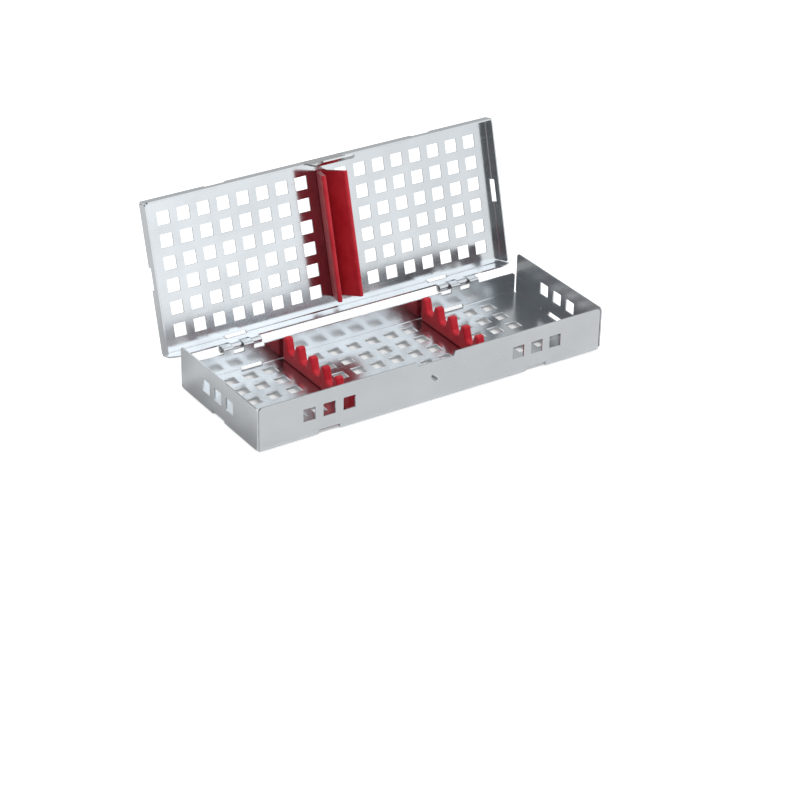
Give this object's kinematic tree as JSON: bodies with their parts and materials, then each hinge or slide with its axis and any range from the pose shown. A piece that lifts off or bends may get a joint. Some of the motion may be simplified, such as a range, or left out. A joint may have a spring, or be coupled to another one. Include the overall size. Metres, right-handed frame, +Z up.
{
  "type": "dental instrument cassette",
  "caption": "Perforated folded-steel instrument cassette with a hinged lid, sprung latch tongue, silicone racks and a hold-down bar; lid shown open.",
  "frame": {"origin": "centre of the tray's underside", "axes": "+X to the right along the length, -Y to the front where the latch closes, +Z up; rest pose has the lid open at its stop"},
  "size_m": [0.18, 0.0995, 0.0826],
  "materials": {
    "sheet_steel": "electropolished sheet with faint rolling grain",
    "bright_steel": "bright polished sheet",
    "pin_steel": "turned steel with polished ends",
    "silicone": "smooth satin silicone"
  },
  "bodies": {
    "tray": {"tray": "sheet_steel", "catch_stud": "pin_steel", "hinge_pin_left": "pin_steel", "hinge_pin_right": "pin_steel", "rack_left": "silicone", "rack_right": "silicone"},
    "lid": {"lid": "sheet_steel", "hold_down_bar": "silicone"},
    "latch": {"latch_tongue": "bright_steel"}
  },
  "joints": [
    {"name": "lid_hinge", "type": "hinge", "parent": "tray", "child": "lid", "pos_m": [0, 0.0354, 0.0112], "axis": [1, 0, 0], "range_deg": [0, 105]},
    {"name": "latch_flex", "type": "hinge", "parent": "lid", "child": "latch", "pos_m": [0, 0.0628, 0.07597], "axis": [-1, 0, 0], "range_deg": [0, 8], "stiffness_Nm_per_rad": 0.2}
  ]
}
